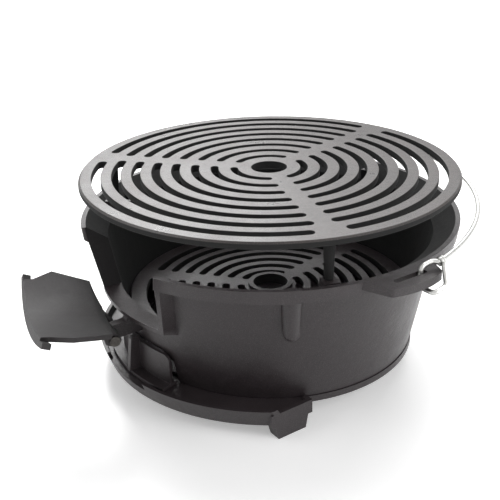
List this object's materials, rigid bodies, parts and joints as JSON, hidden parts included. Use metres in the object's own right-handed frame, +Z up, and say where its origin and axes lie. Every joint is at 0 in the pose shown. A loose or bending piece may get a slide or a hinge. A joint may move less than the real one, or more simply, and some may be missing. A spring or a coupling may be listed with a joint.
{
  "type": "barbecue grill",
  "caption": "Portable cast-iron charcoal barbecue grill: a tapered bowl on a footed base with a fuel door, an air damper, loose grates and a wire carrying bail.",
  "frame": {"origin": "on the bowl's axis, at the ground under the feet", "axes": "+Z up; -Y to the front, where the fuel door and the air inlet are; X runs from ear to ear"},
  "size_m": [0.4844, 0.5253, 0.219],
  "materials": {
    "cast_iron_body": "matte",
    "cast_iron_grate": "matte",
    "zinc_wire": "satin",
    "pin_steel": "satin"
  },
  "bodies": {
    "base": {"base_plate": "cast_iron_body"},
    "bowl": {"bowl": "cast_iron_body"},
    "hinge_pin": {"door_hinge_pin": "pin_steel", "hinge_split_pin": "pin_steel"},
    "door": {"fire_door": "cast_iron_body"},
    "damper": {"air_damper": "cast_iron_body"},
    "charcoal_grate": {"charcoal_grate": "cast_iron_body"},
    "cooking_grate": {"cooking_grate": "cast_iron_grate"},
    "bail": {"carry_bail": "zinc_wire"}
  },
  "joints": [
    {"name": "bowl_lift", "type": "slide", "parent": "base", "child": "bowl", "axis": [0, 0, 1], "range_m": [0, 0.15]},
    {"name": "damper_turn", "type": "hinge", "parent": "base", "child": "damper", "pos_m": [0, 0, 0.03], "axis": [0, 0, 1], "range_deg": [-30, 30]},
    {"name": "door_swing", "type": "hinge", "parent": "bowl", "child": "hinge_pin", "pos_m": [0, -0.205, 0.084], "axis": [0, 0, 1], "range_deg": [0, 15.5]},
    {"name": "door_fold", "type": "hinge", "parent": "hinge_pin", "child": "door", "pos_m": [0, -0.205, 0.084], "axis": [-0.9636, 0.2672, 0], "range_deg": [0, 67]},
    {"name": "charcoal_grate_lift", "type": "slide", "parent": "bowl", "child": "charcoal_grate", "axis": [0, 0, 1], "range_m": [0, 0.1]},
    {"name": "cooking_grate_lift", "type": "slide", "parent": "bowl", "child": "cooking_grate", "axis": [0, 0, 1], "range_m": [0, 0.015]},
    {"name": "bail_swing", "type": "hinge", "parent": "bowl", "child": "bail", "pos_m": [0, 0.012, 0.1571], "axis": [1, 0, 0], "range_deg": [0, 90]}
  ],
  "couplings": [
    {"joint": "door_swing", "follows": "door_fold", "ratio": 0.23134}
  ]
}
